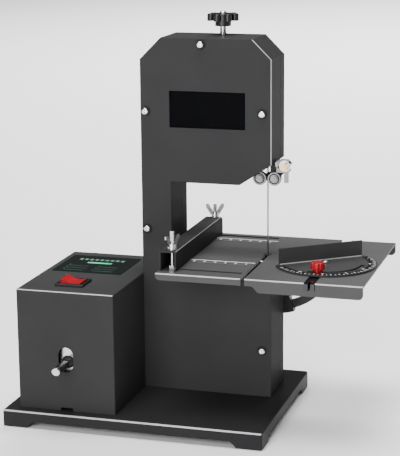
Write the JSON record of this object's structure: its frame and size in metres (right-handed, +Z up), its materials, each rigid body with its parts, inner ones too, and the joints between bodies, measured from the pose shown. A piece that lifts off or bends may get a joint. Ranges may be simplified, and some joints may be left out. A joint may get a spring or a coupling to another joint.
{
  "type": "band saw",
  "caption": "Small desktop band saw with a C-shaped casing, tilting slotted table, rip fence, miter gauge and a separate motor box on a folded base.",
  "frame": {"origin": "on the ground, in the middle of the machine's bounding box", "axes": "+X to the right along the front, +Y towards the back, +Z up"},
  "size_m": [0.3334, 0.214, 0.377],
  "materials": {
    "powder_charcoal": "satin fine-textured powder coat",
    "table_paint": "satin powder coat, lighter grey",
    "black_paint": "semi-gloss black paint",
    "bright_steel": "zinc-plated and polished steel",
    "blade_steel": "thin spring steel with teeth",
    "cast_aluminium": "turned and cast aluminium",
    "black_rubber": "matte rubber",
    "black_plastic": "fine-grained black plastic",
    "rail_steel": "black oxide steel",
    "red_plastic": "glossy translucent red",
    "brass": "knurled brass",
    "smoked_window": "dark smoked acrylic",
    "label": "printed black film",
    "circuit_board": "green solder mask with parts"
  },
  "bodies": {
    "frame": {"base_tray": "powder_charcoal", "rear_frame": "powder_charcoal", "front_cover": "powder_charcoal", "window_pane": "smoked_window", "cover_screws": "bright_steel", "cover_washers": "black_rubber", "carriage_rails": "rail_steel", "tension_nut": "bright_steel", "saw_blade": "blade_steel", "drive_belt": "black_rubber", "bearing_block": "cast_aluminium", "shaft_bearings": "bright_steel", "motor_can": "black_paint", "motor_bracket": "bright_steel", "small_screws": "bright_steel", "box_shell": "powder_charcoal", "box_back_panel": "powder_charcoal", "label_plate": "label", "switch_bezel": "black_plastic", "power_inlet": "black_plastic", "control_board": "circuit_board", "upper_guide_arm": "black_paint", "guide_bracket": "bright_steel", "guide_pins": "bright_steel", "lower_guide_block": "black_plastic", "thumb_screw_washer": "bright_steel", "trunnion_bracket": "black_paint", "trunnion_clamp": "black_paint"},
    "lower_wheel_set": {"lower_wheel": "cast_aluminium", "lower_tyre": "black_rubber", "lower_shaft": "bright_steel", "driven_pulley": "cast_aluminium"},
    "carriage": {"wheel_carriage": "cast_aluminium", "upper_axle": "bright_steel"},
    "upper_wheel_set": {"upper_wheel": "cast_aluminium", "upper_tyre": "black_rubber", "upper_wheel_bearings": "bright_steel"},
    "tension_knob_set": {"tension_knob": "black_plastic", "tension_screw": "bright_steel"},
    "motor_rotor": {"motor_shaft": "bright_steel", "motor_pulley": "cast_aluminium", "spindle_sleeve": "black_plastic"},
    "left_guide": {"upper_guide_bearing_left": "bright_steel"},
    "right_guide": {"upper_guide_bearing_right": "bright_steel"},
    "thumb_screw": {"brass_thumb_screw": "brass"},
    "table": {"table_top": "table_paint", "miter_track": "table_paint", "table_rulers": "label", "table_trunnion": "black_paint", "trunnion_screws": "bright_steel"},
    "tilt_knob": {"tilt_clamp_knob": "black_plastic"},
    "fence": {"fence_channel": "table_paint", "fence_bolts": "bright_steel"},
    "front_wing_nut": {"wing_nut_front": "bright_steel"},
    "back_wing_nut": {"wing_nut_back": "bright_steel"},
    "miter_slider": {"miter_bar": "bright_steel"},
    "miter_gauge": {"miter_head": "table_paint", "miter_pivot_screw": "bright_steel"},
    "miter_clamp": {"miter_knob": "red_plastic"},
    "rocker": {"switch_rocker": "red_plastic"}
  },
  "joints": [
    {"name": "lower_wheel_spin", "type": "hinge", "parent": "frame", "child": "lower_wheel_set", "pos_m": [0.0074, 0.031, 0.074], "axis": [0, 1, 0], "continuous": true},
    {"name": "tension_slide", "type": "slide", "parent": "frame", "child": "carriage", "axis": [0, 0, 1], "range_m": [-0.005, 0]},
    {"name": "upper_wheel_spin", "type": "hinge", "parent": "carriage", "child": "upper_wheel_set", "pos_m": [0.0074, 0.031, 0.294], "axis": [0, 1, 0], "continuous": true},
    {"name": "tension_knob_turn", "type": "hinge", "parent": "carriage", "child": "tension_knob_set", "pos_m": [0.01025, 0.046, 0.3555], "axis": [0, 0, 1], "range_deg": [-1800, 0]},
    {"name": "motor_spin", "type": "hinge", "parent": "frame", "child": "motor_rotor", "pos_m": [-0.10665, -0.072, 0.062], "axis": [0, 1, 0], "continuous": true},
    {"name": "left_guide_spin", "type": "hinge", "parent": "frame", "child": "left_guide", "pos_m": [0.0504, 0.031, 0.2236], "axis": [0, 1, 0], "continuous": true},
    {"name": "right_guide_spin", "type": "hinge", "parent": "frame", "child": "right_guide", "pos_m": [0.0645, 0.031, 0.2236], "axis": [0, 1, 0], "continuous": true},
    {"name": "thumb_screw_turn", "type": "hinge", "parent": "frame", "child": "thumb_screw", "pos_m": [0.07565, 0.0225, 0.2371], "axis": [0, 1, 0], "range_deg": [0, 720]},
    {"name": "table_tilt", "type": "hinge", "parent": "frame", "child": "table", "pos_m": [0.05745, 0.031, 0.1497], "axis": [0, -1, 0], "range_deg": [-40, 0]},
    {"name": "tilt_knob_turn", "type": "hinge", "parent": "frame", "child": "tilt_knob", "pos_m": [0.05745, 0.0656, 0.099], "axis": [0, 1, 0], "range_deg": [0, 720]},
    {"name": "fence_slide", "type": "slide", "parent": "table", "child": "fence", "axis": [1, 0, 0], "range_m": [0, 0.057]},
    {"name": "front_wing_nut_turn", "type": "hinge", "parent": "fence", "child": "front_wing_nut", "pos_m": [-0.01345, -0.045, 0.1683], "axis": [0, 0, 1], "range_deg": [0, 360]},
    {"name": "back_wing_nut_turn", "type": "hinge", "parent": "fence", "child": "back_wing_nut", "pos_m": [-0.01345, 0.096, 0.1683], "axis": [0, 0, 1], "range_deg": [0, 360]},
    {"name": "miter_slide", "type": "slide", "parent": "table", "child": "miter_slider", "axis": [0, 1, 0], "range_m": [-0.04, 0.06]},
    {"name": "miter_turn", "type": "hinge", "parent": "miter_slider", "child": "miter_gauge", "pos_m": [0.11875, 0.0055, 0.1515], "axis": [0, 0, 1], "range_deg": [-83, 8]},
    {"name": "miter_knob_turn", "type": "hinge", "parent": "miter_slider", "child": "miter_clamp", "pos_m": [0.11875, -0.0295, 0.1518], "axis": [0, 0, 1], "range_deg": [0, 360]},
    {"name": "rocker_tilt", "type": "hinge", "parent": "frame", "child": "rocker", "pos_m": [-0.10925, -0.05, 0.132], "axis": [0, 1, 0], "range_deg": [-22, 0]}
  ],
  "couplings": [
    {"joint": "upper_wheel_spin", "follows": "lower_wheel_spin", "ratio": 1},
    {"joint": "motor_spin", "follows": "lower_wheel_spin", "ratio": 2.5},
    {"joint": "left_guide_spin", "follows": "lower_wheel_spin", "ratio": 7.7},
    {"joint": "right_guide_spin", "follows": "lower_wheel_spin", "ratio": -7.7},
    {"joint": "tension_knob_turn", "follows": "tension_slide", "rad_per_m": 6283.2}
  ]
}
